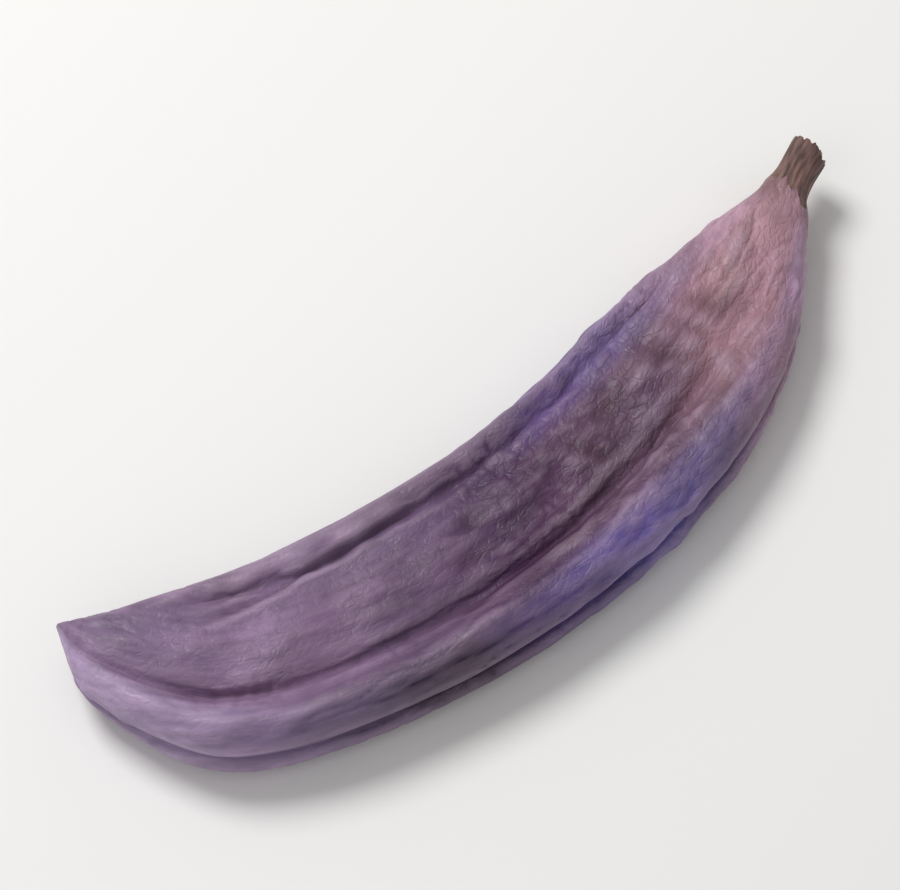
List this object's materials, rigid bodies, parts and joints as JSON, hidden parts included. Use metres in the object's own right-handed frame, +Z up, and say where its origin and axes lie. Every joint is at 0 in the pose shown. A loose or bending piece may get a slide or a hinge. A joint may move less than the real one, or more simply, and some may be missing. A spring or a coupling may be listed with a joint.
{
  "type": "carob pod",
  "caption": "Ripe, dry carob pod lying flat: a sabre-curved, leathery pod with a thick double ridge and a groove along each seam, a blunt tip and a short stump of stalk.",
  "frame": {"origin": "middle of the pod's bounding box, on the surface that the pod lies on", "axes": "+X along the pod towards its stalk, +Y across it towards its hollow edge, +Z up through its flat sides"},
  "size_m": [0.1078, 0.0366, 0.0101],
  "materials": {
    "pod_skin": "dry, wrinkled, faintly waxy mauve-brown skin"
  },
  "bodies": {
    "root": {"carob_pod": "pod_skin"}
  },
  "joints": []
}
